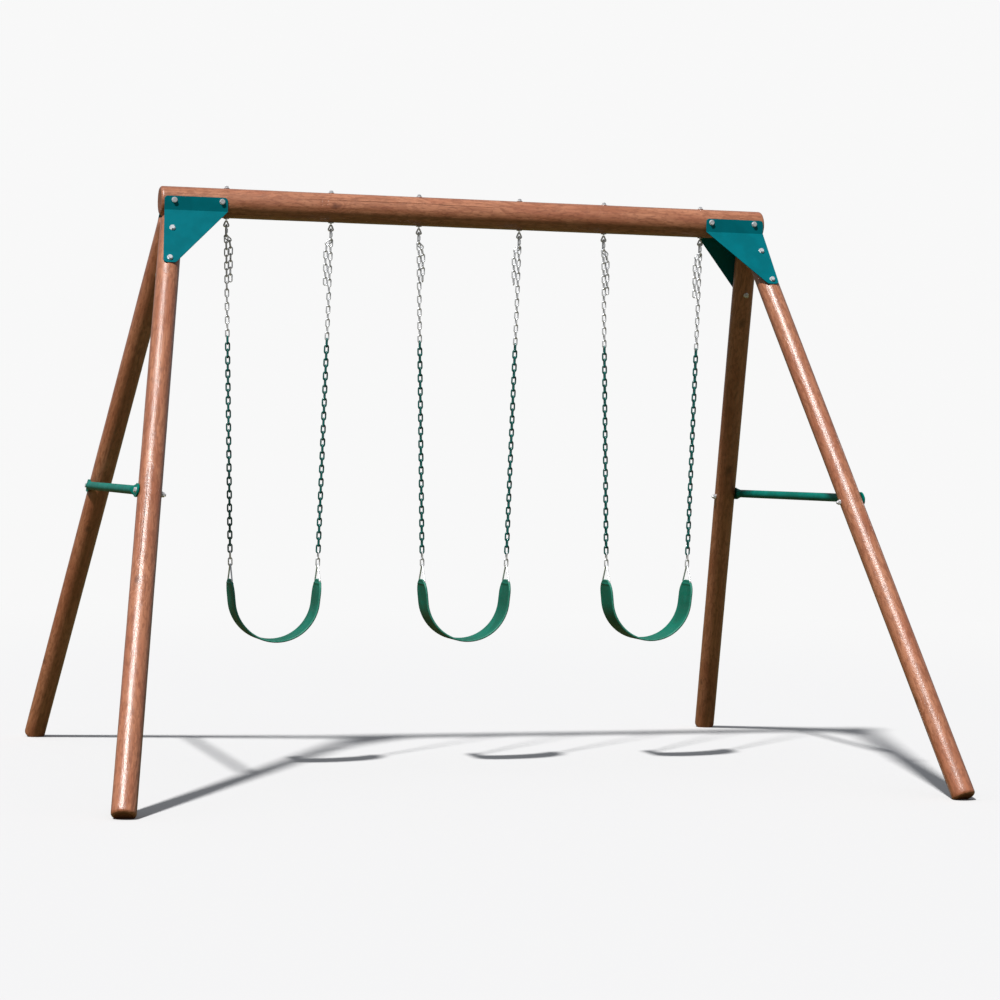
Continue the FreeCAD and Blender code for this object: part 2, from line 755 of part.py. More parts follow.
def make_swing(swing, centre_x):
    hangings = []
    for side in (-1, 1):
        hangings.append(Hanging(centre_x + side * size("hanger_pitch") / 2, side))
    hook = long_link(size("hook_inside"), size("hook_width"), size("hook_wire"))
    keep_group(swing + "_quick_links", hook, [Placement(item.hook, EDGE_ON) for item in hangings])
    # the sleeve is screwed over the gap in the quick link's front leg
    sleeve = hexagon(size("sleeve_diameter") / 2, size("sleeve_length"))
    sleeve = sleeve.cut(Part.makeCylinder((size("hook_wire") + size("link_gap")) / 2, size("sleeve_length")))
    sleeve_drop = V(0, -size("hook_width") / 2, -size("sleeve_length") / 2)
    keep_group(swing + "_link_sleeves", sleeve,
               [Placement(item.hook + sleeve_drop, Rotation()) for item in hangings])

    bare = long_link(size("chain_inside"), size("chain_width"), size("chain_wire"))
    coated = long_link(size("chain_inside"), size("coated_width"), size("coated_wire"))
    count = int(size("chain_links"))
    seat_end = count - int(size("seat_links"))
    for word, item, spare in zip(WORDS, hangings, TAIL_LINKS[swing]):
        indexes = range(count)
        bare_ones = [index for index in indexes if index < size("bare_links") or index >= seat_end]
        coated_ones = [index for index in indexes if index not in bare_ones]
        places = [item.link_placement(index) for index in bare_ones]
        places.append(item.fixed_spare()[0])
        keep_group(swing + "_chain_" + word + "_bare", bare, places)
        keep_group(swing + "_chain_" + word + "_coated", coated,
                   [item.link_placement(index) for index in coated_ones])
        keep_group(swing + "_tail_" + word, bare, item.tail_placements(spare))

    ring_places = []
    for item in hangings:
        ring_places.append(Placement(V(item.seat_pivot.x, 0, item.ring_top), Rotation()))
    keep_group(swing + "_rings", triangle_ring(size("ring_wire")), ring_places)
    bottom = hangings[0].ring_top + ring_crest() - size("ring_height") - belt_bar_z()
    make_belt(swing + "_belt", centre_x, ring_places, bottom)
    return hangings


# ---------------------------------------------------------------- build, check and write

def print_joint_points(swing, hangings):
    """The joint positions, in metres, as the record states them."""
    for item in hangings:
        tail = item.tail_line()[3]
        print(swing, "pivot", [round(value / 1000, 5) for value in item.pivot],
              "tail", [round(value / 1000, 5) for value in tail],
              "seat", [round(value / 1000, 5) for value in item.seat_pivot])


def check_document():
    for item in doc.Objects:
        assert not {"Invalid", "Error"} & set(item.State), item.Name + " failed"
    for item in NODES:
        assert not item.Shape.isNull() and item.Shape.isValid(), item.Label + " has a bad shape"
        assert item.Shape.Solids, item.Label + " has no solid"


def write_parts():
    os.makedirs("parts", exist_ok=True)
    for item in NODES:
        item.Shape.exportStep("parts/%s.step" % item.Label)
    print(len(NODES), "nodes,", sum(len(item.Shape.Solids) for item in NODES), "solids")


make_beam()
for leg_name, leg in LEGS.items():
    make_leg("leg_" + leg_name, leg)
    make_bracket("bracket_" + leg_name, leg)
make_frame_fasteners()
make_brace("brace_left", LEGS["front_left"], LEGS["back_left"])
make_brace("brace_right", LEGS["front_right"], LEGS["back_right"])
make_eye_bolts()
for swing, step in SWINGS:
    print_joint_points(swing, make_swing(swing, step * size("swing_pitch")))
doc.recompute()
check_document()
write_parts()
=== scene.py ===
"""Looks of the timber A-frame swing set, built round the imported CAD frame.

Everything is in metres in the part's own frame: +X runs along the top beam, -Y is the
front, +Z is up, and the origin lies on the ground under the middle of the beam.
"""

import math
import random

import bmesh
import bpy
import numpy as np
from mathutils import Matrix, Vector, noise


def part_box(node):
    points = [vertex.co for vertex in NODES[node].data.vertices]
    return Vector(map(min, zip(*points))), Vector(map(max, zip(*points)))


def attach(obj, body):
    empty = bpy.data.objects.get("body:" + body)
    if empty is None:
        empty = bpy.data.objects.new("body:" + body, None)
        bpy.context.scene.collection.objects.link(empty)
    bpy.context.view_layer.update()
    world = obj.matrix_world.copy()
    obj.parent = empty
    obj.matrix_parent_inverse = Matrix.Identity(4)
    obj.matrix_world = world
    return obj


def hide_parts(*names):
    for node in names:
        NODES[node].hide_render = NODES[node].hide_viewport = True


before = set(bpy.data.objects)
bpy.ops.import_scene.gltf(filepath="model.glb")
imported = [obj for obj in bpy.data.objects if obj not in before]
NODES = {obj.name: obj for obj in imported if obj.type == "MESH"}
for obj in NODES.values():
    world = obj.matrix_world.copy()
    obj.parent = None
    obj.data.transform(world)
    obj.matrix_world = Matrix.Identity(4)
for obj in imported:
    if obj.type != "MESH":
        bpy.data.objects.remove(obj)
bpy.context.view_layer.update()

SIDES = (("left", -1), ("right", 1))
DEPTHS = (("front", -1), ("back", 1))
SWINGS = ("left", "middle", "right")


# ---------------------------------------------------------------- material helper

class Graph:
    """The node graph of one material, ended by a Principled shader."""

    def __init__(self, name):
        self.material = bpy.data.materials.new(name)
        self.material.use_nodes = True
        self.tree = self.material.node_tree
        self.tree.nodes.clear()

    def node(self, kind, inputs=None, **settings):
        made = self.tree.nodes.new("ShaderNode" + kind)
        for key, value in settings.items():
            setattr(made, key, value)
        for key, value in (inputs or {}).items():
            self.feed(made.inputs[key], value)
        return made

    def feed(self, socket, value):
        if isinstance(value, bpy.types.NodeSocket):
            self.tree.links.new(value, socket)
        else:
            socket.default_value = value

    def math(self, operation, first, second=0.0, clamp=False):
        return self.node("Math", {0: first, 1: second}, operation=operation, use_clamp=clamp).outputs[0]

    def stretch(self, vector, factors):
        return self.node("Mapping", {"Vector": vector, "Scale": factors}).outputs[0]

    def shift(self, vector, offset):
        return self.node("VectorMath", {0: vector, 1: offset}, operation="ADD").outputs[0]

    def place(self):
        """Position on the piece, which stays with it when it moves."""
        return self.node("TexCoord").outputs["Object"]

    def attribute(self, name, output):
        return self.node("Attribute", attribute_name=name).outputs[output]

    def noise(self, vector, scale, detail=2.0, roughness=0.5, output="Fac"):
        inputs = {"Vector": vector, "Scale": scale, "Detail": detail, "Roughness": roughness}
        return self.node("TexNoise", inputs).outputs[output]

    def between(self, value, low, high, to_low=0.0, to_high=1.0):
        inputs = {"Value": value, "From Min": low, "From Max": high, "To Min": to_low, "To Max": to_high}
        return self.node("MapRange", inputs, interpolation_type="SMOOTHSTEP").outputs[0]

    def mix(self, amount, first, second, blend="MIX"):
        made = self.node("Mix", {"Factor": amount}, data_type="RGBA", blend_type=blend)
        colours = [socket for socket in made.inputs if socket.type == "RGBA"]
        self.feed(colours[0], first)
        self.feed(colours[1], second)
        return next(socket for socket in made.outputs if socket.type == "RGBA")

    def bump(self, height, distance, strength=1.0, normal=None):
        inputs = {"Height": height, "Distance": distance, "Strength": strength}
        if normal is not None:
            inputs["Normal"] = normal
        return self.node("Bump", inputs).outputs[0]

    def finish(self, **inputs):
        """Adds the Principled shader; an input's name has _ for each space."""
        named = {key.replace("_", " "): value for key, value in inputs.items()}
        shader = self.node("BsdfPrincipled", named)
        output = self.node("OutputMaterial")
        self.tree.links.new(shader.outputs[0], output.inputs[0])
        return self.material


def colour(red, green, blue):
    """A linear colour from sRGB values of 0 to 255."""
    def linear(value):
        share = value / 255
        return share / 12.92 if share <= 0.04045 else ((share + 0.055) / 1.055) ** 2.4
    return (linear(red), linear(green), linear(blue), 1.0)


# ---------------------------------------------------------------- materials

def timber_material(name, end_grain):
    """Stained, sealed softwood round a wandering pith, read in each log's own axes."""
    g = Graph(name)
    along = g.attribute("log_place", "Vector")
    level = g.stretch(along, (0.0, 0.0, 1.0))

    # growth rings: the distance from a pith that strays from the log's axis
    stray = g.noise(level, 1.3, 2.0, output="Color")
    centred = g.node("VectorMath", {0: stray, 1: (0.5, 0.5, 0.5)}, operation="SUBTRACT").outputs[0]
    pith = g.stretch(centred, (0.11, 0.11, 0.0))
    section = g.stretch(along, (1.0, 1.0, 0.0))
    radius = g.node("VectorMath", {0: g.shift(section, pith)}, operation="LENGTH").outputs["Value"]
    waver = g.noise(g.stretch(along, (1.0, 1.0, 0.06)), 24.0, 3.0)
    spot = g.math("ADD", g.attribute("knot_distance", "Fac"),
                  g.math("MULTIPLY", g.noise(along, 70.0, 3.0), 0.016))
    swell = g.between(spot, 0.008, 0.060, 0.014, 0.0)
    ring_place = g.math("ADD", g.math("ADD", radius, swell), g.math("MULTIPLY", waver, 0.012))
    phase = g.math("FRACT", g.math("DIVIDE", ring_place, 0.0056))
    late = g.math("MULTIPLY", g.between(phase, 0.25, 0.90), g.between(phase, 1.0, 0.93))

    fibre = g.noise(g.stretch(along, (1.0, 1.0, 0.020)), 480.0, 3.0, 0.6)
    streak = g.noise(g.stretch(along, (1.0, 1.0, 0.030)), 75.0, 4.0, 0.6)
    blotch = g.noise(g.stretch(along, (1.0, 1.0, 0.30)), 14.0, 4.0, 0.55)
    speckle = g.noise(g.stretch(along, (1.0, 1.0, 0.35)), 110.0, 2.0, 0.6)

    tone = g.mix(g.math("MULTIPLY", late, 0.40), colour(188, 124, 90), colour(142, 80, 48))
    tone = g.mix(g.between(blotch, 0.42, 0.62, 0.0, 0.50), tone, colour(160, 88, 58))
    tone = g.mix(g.between(streak, 0.46, 0.66, 0.0, 0.45), tone, colour(140, 80, 44))
    tone = g.mix(g.between(speckle, 0.48, 0.62, 0.0, 0.50), tone, colour(126, 68, 38))
    tone = g.mix(g.between(fibre, 0.50, 0.70, 0.0, 0.35), tone, colour(120, 70, 42))
    tone = g.mix(g.between(spot, 0.026, 0.010, 0.0, 0.75), tone, colour(96, 52, 30))
    # painted shade: the wood is made near black down the bottom of each crack, standing in for the shade
    # in its hollow
    crack = g.attribute("crack_depth", "Fac")
    tone = g.mix(g.between(crack, 0.0, 0.7, 0.0, 0.9), tone, colour(40, 22, 12))
    if end_grain:
        tone = g.mix(0.45, tone, colour(96, 56, 34))

    # the sealer lies unevenly, so that the light breaks up into beads along the log
    beads = g.noise(g.stretch(along, (1.0, 1.0, 0.55)), 260.0, 2.0, 0.55)
    height = g.math("ADD", g.math("MULTIPLY", fibre, 0.3), g.math("MULTIPLY", beads, 0.7))
    normal = g.bump(height, 0.0018, 0.70)
    normal = g.bump(blotch, 0.0028, 0.5, normal)
    normal = g.bump(g.math("SUBTRACT", 1.0, late), 0.0004, 0.6, normal)
    roughness = g.between(fibre, 0.35, 0.65, 0.44, 0.58)
    return g.finish(Base_Color=tone, Roughness=0.65 if end_grain else roughness, Normal=normal,
                    Coat_Weight=0.1 if end_grain else 0.90, Coat_Roughness=0.29, Coat_Normal=normal)


def paint_material(name, base, shade, gloss, shine):
    """Powder coat: one colour with a faint cloud in it and a fine orange-peel skin."""
    g = Graph(name)
    place = g.place()
    cloud = g.noise(place, 14.0, 3.0)
    peel = g.noise(place, 900.0, 2.0)
    dust = g.noise(place, 45.0, 4.0, 0.65)
    tone = g.mix(g.between(cloud, 0.35, 0.65), base, shade)
    roughness = g.between(dust, 0.35, 0.70, gloss, gloss + 0.10)
    normal = g.bump(peel, 0.0002, 0.35)
    return g.finish(Base_Color=tone, Roughness=roughness, Normal=normal, Specular_IOR_Level=shine)


def rubber_material(name):
    """Moulded seat rubber: satin, with a pebbled skin, faint scuffs and paler edges, partly wear and
    partly a painted highlight.
    """
    g = Graph(name)
    place = g.place()
    cloud = g.noise(place, 9.0, 3.0)
    pebble = g.node("TexVoronoi", {"Vector": place, "Scale": 520.0}).outputs["Distance"]
    scuff = g.noise(g.stretch(place, (1.0, 0.2, 1.0)), 60.0, 5.0, 0.7)
    tone = g.mix(g.between(cloud, 0.40, 0.60), colour(0, 112, 91), colour(0, 98, 77))
    tone = g.mix(g.between(scuff, 0.54, 0.72, 0.0, 0.30), tone, colour(8, 120, 98))
    # painted highlight and wear: the rim is made paler, most where it is scuffed, standing in for the
    # light that a rounded edge catches
    wear_and_highlight = g.math("MULTIPLY", g.attribute("edge", "Fac"), g.between(scuff, 0.35, 0.60, 0.4, 1.0))
    tone = g.mix(g.math("MULTIPLY", wear_and_highlight, 0.55), tone, colour(96, 164, 146))
    roughness = g.between(scuff, 0.4, 0.7, 0.40, 0.58)
    normal = g.bump(pebble, 0.0004, 0.5)
    return g.finish(Base_Color=tone, Roughness=roughness, Normal=normal, Specular_IOR_Level=0.20)


def coating_material(name):
    """Soft plastic dip over the middle of the chains: dark, smooth and shiny."""
    g = Graph(name)
    place = g.place()
    cloud = g.noise(place, 60.0, 3.0)
    dimple = g.noise(place, 260.0, 2.0)
    tone = g.mix(g.between(cloud, 0.3, 0.7), colour(0, 100, 94), colour(0, 76, 70))
    normal = g.bump(dimple, 0.0004, 0.4)
    return g.finish(Base_Color=tone, Roughness=0.27, Normal=normal, Coat_Weight=0.4, Coat_Roughness=0.1)


def zinc_material(name):
    """Bright zinc plate with a milky bloom and dulled patches."""
    g = Graph(name)
    place = g.place()
    bloom = g.noise(place, 70.0, 4.0, 0.6)
    grain = g.noise(place, 700.0, 2.0)
    tone = g.mix(g.between(bloom, 0.40, 0.62), (0.95, 0.96, 0.98, 1.0), (0.68, 0.70, 0.73, 1.0))
    roughness = g.between(bloom, 0.40, 0.62, 0.24, 0.40)
    normal = g.bump(grain, 0.00015, 0.35)
    return g.finish(Base_Color=tone, Metallic=0.6, Roughness=roughness, Normal=normal)


MATERIALS = {
    "stained_timber": timber_material("stained_timber", end_grain=False),
    "bracket_paint": paint_material("bracket_paint", colour(0, 108, 119), colour(0, 101, 111), 0.45, 0.05),
    "brace_paint": paint_material("brace_paint", colour(0, 124, 110), colour(0, 110, 96), 0.32, 0.06),
    "belt_rubber": rubber_material("belt_rubber"),
    "chain_coating": coating_material("chain_coating"),
    "zinc_hardware": zinc_material("zinc_hardware"),
}
TIMBER_END = timber_material("stained_timber_end", end_grain=True)


def dress_cad_nodes():
    """Give every CAD node the finish of the slot that it came with."""
    for node in NODES.values():
        for slot in node.material_slots:
            slot.material = MATERIALS[slot.material.name.split(".")[0]]


# ---------------------------------------------------------------- mesh helpers

def add_object(name, mesh):
    made = bpy.data.objects.new(name, mesh)
    bpy.context.scene.collection.objects.link(made)
    return made


def set_smooth(mesh):
    mesh.polygons.foreach_set("use_smooth", [True] * len(mesh.polygons))
    mesh.update()


def face_outward(mesh, merge=0.0):
    """Turns every face outward, after joining points nearer to each other than merge."""
    made = bmesh.new()
    made.from_mesh(mesh)
    if merge:
        bmesh.ops.remove_doubles(made, verts=made.verts, dist=merge)
    bmesh.ops.recalc_face_normals(made, faces=made.faces)
    made.to_mesh(mesh)
    made.free()


def add_bevel(item, width):
    """Joins the CAD facets and softens the sharp edges, without touching the mesh itself."""
    weld = item.modifiers.new("Weld", "WELD")
    weld.merge_threshold = 0.00001
    bevel = item.modifiers.new("Bevel", "BEVEL")
    bevel.width = width
    bevel.segments = 2
    bevel.limit_method = "ANGLE"
    bevel.angle_limit = math.radians(32)
    bevel.harden_normals = True


# ---------------------------------------------------------------- logs

class Log:
    """A turned log between two points, with its drying cracks and knots."""

    COLUMNS = 66
    STATION = 0.012          # between levels
    RIM = 0.011              # the radius that the ends are rounded to
    WAVE = 0.0007            # how much the turned surface wavers, at most
    RIPPLE = 0.0003
    SAW_MARK = 0.0006
    DISH = 0.0004
    RIM_STEPS = 5
    KNOT_STATION = 0.005
    END_RINGS = (0.86, 0.70, 0.52, 0.34, 0.16)
    CRACK_SHARES = (-1.8, -1, 0, 1, 1.8)

    def __init__(self, name, start, end, radius, seed):
        self.name = name
        self.start = Vector(start)
        self.length = (Vector(end) - self.start).length
        self.turn = (Vector(end) - self.start).to_track_quat("Z", "Y").to_matrix()
        self.radius = radius
        self.random = random.Random(seed)
        self.grain_shift = 3.7 * seed
        self.cracks = []
        self.knots = []

    def add_crack(self, toward, start, end, width, depth):
        """A drying crack on the side that faces toward, from start to end along the log."""
        self.cracks.append({"angle": self.angle_of(toward), "start": start, "end": end,
                            "width": width, "depth": depth})

    def add_knots(self, count):
        for index in range(count):
            share = (index + self.random.uniform(0.25, 0.75)) / count
            angle = self.random.uniform(0, 2 * math.pi)
            size = self.random.uniform(0.75, 1.35)
            self.knots.append((self.point(angle, share * self.length, self.radius), size))

    def angle_of(self, toward):
        local = self.turn.transposed() @ Vector(toward)
        return math.atan2(local.y, local.x)

    def point(self, angle, level, radius):
        """In the log's own axes."""
        return Vector((radius * math.cos(angle), radius * math.sin(angle), level))

    def spiral(self, level):
        """The grain, and every crack with it, turns slowly round the log."""
        wander = noise.noise(Vector((level * 1.7, self.grain_shift, 0.0)))
        fine = noise.noise(Vector((level * 9.0, self.grain_shift, 5.0)))
        return 0.10 * level + 0.12 * wander + 0.02 * fine

    def opening(self, crack, level):
        """How far a crack is open, 0 to 1, at this level."""
        share = (level - crack["start"]) / (crack["end"] - crack["start"])
        if not 0 < share < 1:
            return 0.0
        ragged = 0.8 + 0.35 * noise.noise(Vector((level * 40.0, crack["angle"], self.grain_shift)))
        return max(0.0, math.sin(math.pi * share) ** 0.55 * ragged)

    def aside(self, crack, share, opening):
        """The angle from a crack's middle to a column share half widths away from it."""
        return share * (0.35 + 0.65 * opening) * crack["width"] / 2 / self.radius

    def columns(self):
        """(angle, crack, share of the crack's half width) round the log.

        The even columns leave room for each crack's own.
        """
        made = []
        guard = 1.3 * math.pi / self.COLUMNS
        for index in range(self.COLUMNS):
            angle = -math.pi + 2 * math.pi * index / self.COLUMNS
            gaps = [abs(math.remainder(angle - crack["angle"], 2 * math.pi)) for crack in self.cracks]
            if min(gaps, default=guard) >= guard:
                made.append((angle, None, 0))
        for crack in self.cracks:
            for share in self.CRACK_SHARES:
                made.append((math.remainder(crack["angle"], 2 * math.pi), crack, share))
        return sorted(made, key=lambda column: (column[0], column[2]))

    def stations(self):
        """(level, how far the surface lies below full girth) down the log, rims included."""
        rim = []
        for index in range(self.RIM_STEPS):
            turn = math.pi / 2 * index / self.RIM_STEPS
            rim.append((self.RIM * (1 - math.cos(turn)), self.RIM * (1 - math.sin(turn))))
        levels = set(np.linspace(self.RIM, self.length - self.RIM, round(self.length / self.STATION)))
        for spot, size in self.knots:
            for step in range(-4, 5):
                levels.add(spot.z + step * self.KNOT_STATION * size)
        body = [(level, 0.0) for level in sorted(levels) if self.RIM <= level <= self.length - self.RIM]
        foot = [(self.length - level, drop) for level, drop in reversed(rim)]
        return rim + body + foot

    def surface(self, level, drop, column):
        """One surface point in the log's own axes, and how deep in a crack it lies."""
        angle, crack, share = column
        depth = 0.0
        opening = 0.0
        if crack:
            opening = self.opening(crack, level)
            angle += self.aside(crack, share, opening)
            if share == 0:
                depth = crack["depth"] * opening
        angle += self.spiral(level)
        turned = Vector((2.2 * math.cos(angle), 2.2 * math.sin(angle), level * 5.0 + self.grain_shift))
        wave = self.WAVE * (0.5 + 0.5 * noise.noise(turned))
        wave += self.RIPPLE * (0.5 + 0.5 * noise.noise(turned * 4.0))
        radius = self.radius - drop - wave - depth
        return self.point(angle, level, radius), opening if share == 0 else 0.0

    def cap_rings(self, level, inward, columns):
        """Rings over a sawn end, from the rim to near the pith, dished a little by the saw."""
        face = self.radius - self.RIM
        rings = []
        for share in self.END_RINGS:
            ring = []
            for angle, crack, offset in columns:
                notch = 0.0
                if crack:
                    opening = self.opening(crack, abs(level - self.RIM))
                    angle += self.aside(crack, offset, opening)
                    if offset == 0:
                        notch = crack["depth"] * opening * share
                angle += self.spiral(level)
                spot = self.point(angle, 0.0, face * share)
                mark = noise.noise(spot * 90.0 + Vector((0, 0, self.grain_shift)))
                saw = self.SAW_MARK * (0.5 + 0.5 * mark)
                spot.z = level + inward * (saw + notch)
                ring.append((spot, 1.0 if notch else 0.0))
            rings.append(ring)
        return rings

    def build(self, planes=()):
        """The log, cut by planes, each a point and the direction of the part that goes."""
        columns = self.columns()
        rings = []
        for level, drop in self.stations():
            rings.append([self.surface(level, drop, column) for column in columns])
        top = list(reversed(self.cap_rings(0.0, 1, columns)))
        foot = self.cap_rings(self.length, -1, columns)
        first_side = len(top)
        last_side = first_side + len(rings) - 1
        rings = top + rings + foot
        centres = [(Vector((0, 0, self.DISH)), 0.0), (Vector((0, 0, self.length - self.DISH)), 0.0)]
        spots = [spot for ring in rings for spot in ring] + centres
        count = len(columns)
        faces = []
        ends = []
        for row in range(len(rings) - 1):
            for index in range(count):
                after = (index + 1) % count
                faces.append((row * count + index, row * count + after,
                              (row + 1) * count + after, (row + 1) * count + index))
                ends.append(0 if first_side <= row < last_side else 1)
        last_row = (len(rings) - 1) * count
        for index in range(count):
            after = (index + 1) % count
            faces.append((after, index, len(spots) - 2))
            faces.append((last_row + index, last_row + after, len(spots) - 1))
            ends += [1, 1]
        mesh = bpy.data.meshes.new(self.name)
        mesh.from_pydata([spot for spot, _ in spots], [], faces)
        mesh.polygons.foreach_set("material_index", ends)
        self.add_attributes(mesh, spots)
        mesh.transform(Matrix.Translation(self.start) @ self.turn.to_4x4())
        self.cut(mesh, planes)
        set_smooth(mesh)
        mesh.set_sharp_from_angle(angle=math.radians(38))
        mesh.materials.append(MATERIALS["stained_timber"])
        mesh.materials.append(TIMBER_END)
        return add_object(self.name, mesh)

    def add_attributes(self, mesh, spots):
        """What the timber material reads: the log's own axes, knots and cracks."""
        shift = Vector((0, 0, self.grain_shift))
        places = []
        knots = []
        for spot, _ in spots:
            places.extend(spot + shift)
            knots.append(min((self.to_knot(spot, knot) / size for knot, size in self.knots), default=1.0))
        mesh.attributes.new("log_place", "FLOAT_VECTOR", "POINT").data.foreach_set("vector", places)
        mesh.attributes.new("knot_distance", "FLOAT", "POINT").data.foreach_set("value", knots)
        # crack_depth marks the bottom of each crack, where the timber material paints shade
        cracks = [crack for _, crack in spots]
        mesh.attributes.new("crack_depth", "FLOAT", "POINT").data.foreach_set("value", cracks)

    def to_knot(self, spot, knot):
        """Distance from a knot's middle, shortened along the grain, where knots are longer."""
        gap = spot - knot
        gap.z *= 0.65
        return gap.length

    def cut(self, mesh, planes):
        """Saws the log off at each plane and closes the cut as end grain."""
        made = bmesh.new()
        made.from_mesh(mesh)
        for spot, away in planes:
            everything = made.verts[:] + made.edges[:] + made.faces[:]
            sawn = bmesh.ops.bisect_plane(made, geom=everything, plane_co=spot, plane_no=away,
                                          clear_outer=True)
            rim = [item for item in sawn["geom_cut"] if isinstance(item, bmesh.types.BMEdge)]
            closed = bmesh.ops.holes_fill(made, edges=rim, sides=0)
            for face in closed["faces"]:
                face.material_index = 1
        bmesh.ops.recalc_face_normals(made, faces=made.faces)
        made.to_mesh(mesh)
        made.free()


def make_beam():
    low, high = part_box("top_beam")
    middle = (low + high) / 2
    radius = (high.z - low.z) / 2
    log = Log("top_beam_log", (low.x, middle.y, middle.z), (high.x, middle.y, middle.z), radius, seed=1)
    log.add_crack(toward=(0, -0.85, 0.5), start=0.55, end=1.35, width=0.0024, depth=0.006)
    log.add_crack(toward=(0, -0.7, -0.7), start=-0.10, end=0.42, width=0.0030, depth=0.008)
    log.add_crack(toward=(0, 0.9, 0.3), start=1.30, end=2.60, width=0.0026, depth=0.007)
    log.add_knots(5)
    finish_piece(log.build(), "frame", "top_beam")


# where the legs stand, as in the CAD model
LEG_LEAN = math.radians(32)
LEG_SPLAY = math.radians(9.3)
LEG_RADIUS = 0.0435
LEG_LENGTH = 2.494
LEG_INSET = 0.044        # the top, from the beam's end
LEG_HALF_GAP = 0.026     # the top, from the middle plane
LEG_DROP = 0.071         # the top, below the beam's axis
MITRE_GAP = 0.00075


def make_leg(name, side, depth, seed):
    """A splayed leg with its foot sawn level and its top mitred against its partner."""
    beam_low, beam_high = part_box("top_beam")
    beam_level = (beam_low.z + beam_high.z) / 2
    top = Vector((side * (beam_high.x - LEG_INSET), depth * LEG_HALF_GAP, beam_level - LEG_DROP))
    down = Vector((side * math.tan(LEG_SPLAY), depth * math.tan(LEG_LEAN), -1)).normalized()
    log = Log(name + "_log", top, top + down * LEG_LENGTH, LEG_RADIUS, seed)
    for toward, start, end in leg_cracks(seed, side, depth):
        log.add_crack(toward, start, end, width=0.0022, depth=0.005)
    log.add_knots(4)
    planes = [(Vector((0, 0, 0)), Vector((0, 0, -1))),
              (Vector((0, depth * MITRE_GAP, 0)), Vector((0, -depth, 0)))]
    finish_piece(log.build(planes), "frame", name)


def leg_cracks(seed, side, depth):
    """(toward, start, end) of a leg's two cracks, one of them from the foot up."""
    pick = random.Random(100 + seed)
    outward = (side * pick.uniform(0.2, 1.0), depth, pick.uniform(-0.3, 0.5))
    inward = (-side, depth * pick.uniform(-0.6, 0.6), pick.uniform(-0.4, 0.4))
    middle = pick.uniform(0.7, 1.4)
    foot = pick.uniform(0.25, 0.45)
    end = middle + pick.uniform(0.35, 0.6)
    return [(outward, middle, end), (inward, LEG_LENGTH - foot, LEG_LENGTH + 0.1)]


def finish_piece(piece, body, node):
    """Hangs the piece on the empty of the body that it rides on, and hides the CAD node that it stands
    for.
    """
    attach(piece, body)
    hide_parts(node)


def make_logs():
    make_beam()
    seed = 2
    for side_word, side in SIDES:
        for depth_word, depth in DEPTHS:
            make_leg("leg_" + depth_word + "_" + side_word, side, depth, seed)
            seed += 1


# ---------------------------------------------------------------- belts

